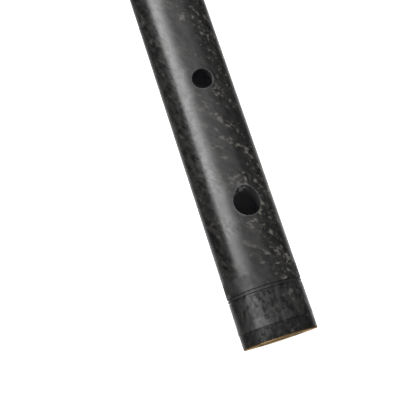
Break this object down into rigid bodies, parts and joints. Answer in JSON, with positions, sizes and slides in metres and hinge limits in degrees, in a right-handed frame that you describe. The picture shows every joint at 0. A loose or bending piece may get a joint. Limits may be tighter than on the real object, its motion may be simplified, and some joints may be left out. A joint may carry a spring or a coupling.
{
  "type": "tin whistle",
  "caption": "Low tin whistle: a slim straight dark tube with finger holes along the top, a windowed head with a scooped beak, a tuning slide joint and a ringed foot.",
  "frame": {"origin": "centre of the end ring's bore at the foot end face", "axes": "+X along the bore towards the mouth end, +Z towards the finger holes and the window, +Y to the left of a player who looks along the tube from the foot"},
  "size_m": [0.57, 0.0254, 0.0254],
  "materials": {
    "carbon_tube": "satin, mottled carbon fibre in clear resin",
    "carbon_band": "satin, mottled carbon fibre in clear resin",
    "end_ring_brass": "aged satin",
    "slide_brass": "fine turned, lightly polished",
    "seal_rubber": "greased",
    "plug_acetal": "satin, machined"
  },
  "bodies": {
    "body": {"body_tube": "carbon_tube", "foot_sleeve": "carbon_band", "end_ring": "end_ring_brass", "socket_band": "carbon_band"},
    "seals": {"o_ring_lower": "seal_rubber", "o_ring_upper": "seal_rubber"},
    "head": {"tuning_slide": "slide_brass", "head_band": "carbon_band", "head_tube": "carbon_tube", "fipple_plug": "plug_acetal"}
  },
  "joints": [
    {"name": "tuning_pull", "type": "slide", "parent": "body", "child": "seals", "axis": [1, 0, 0], "range_m": [0, 0.015]},
    {"name": "head_turn", "type": "hinge", "parent": "seals", "child": "head", "pos_m": [0.385, 0, 0], "axis": [1, 0, 0], "continuous": true}
  ]
}
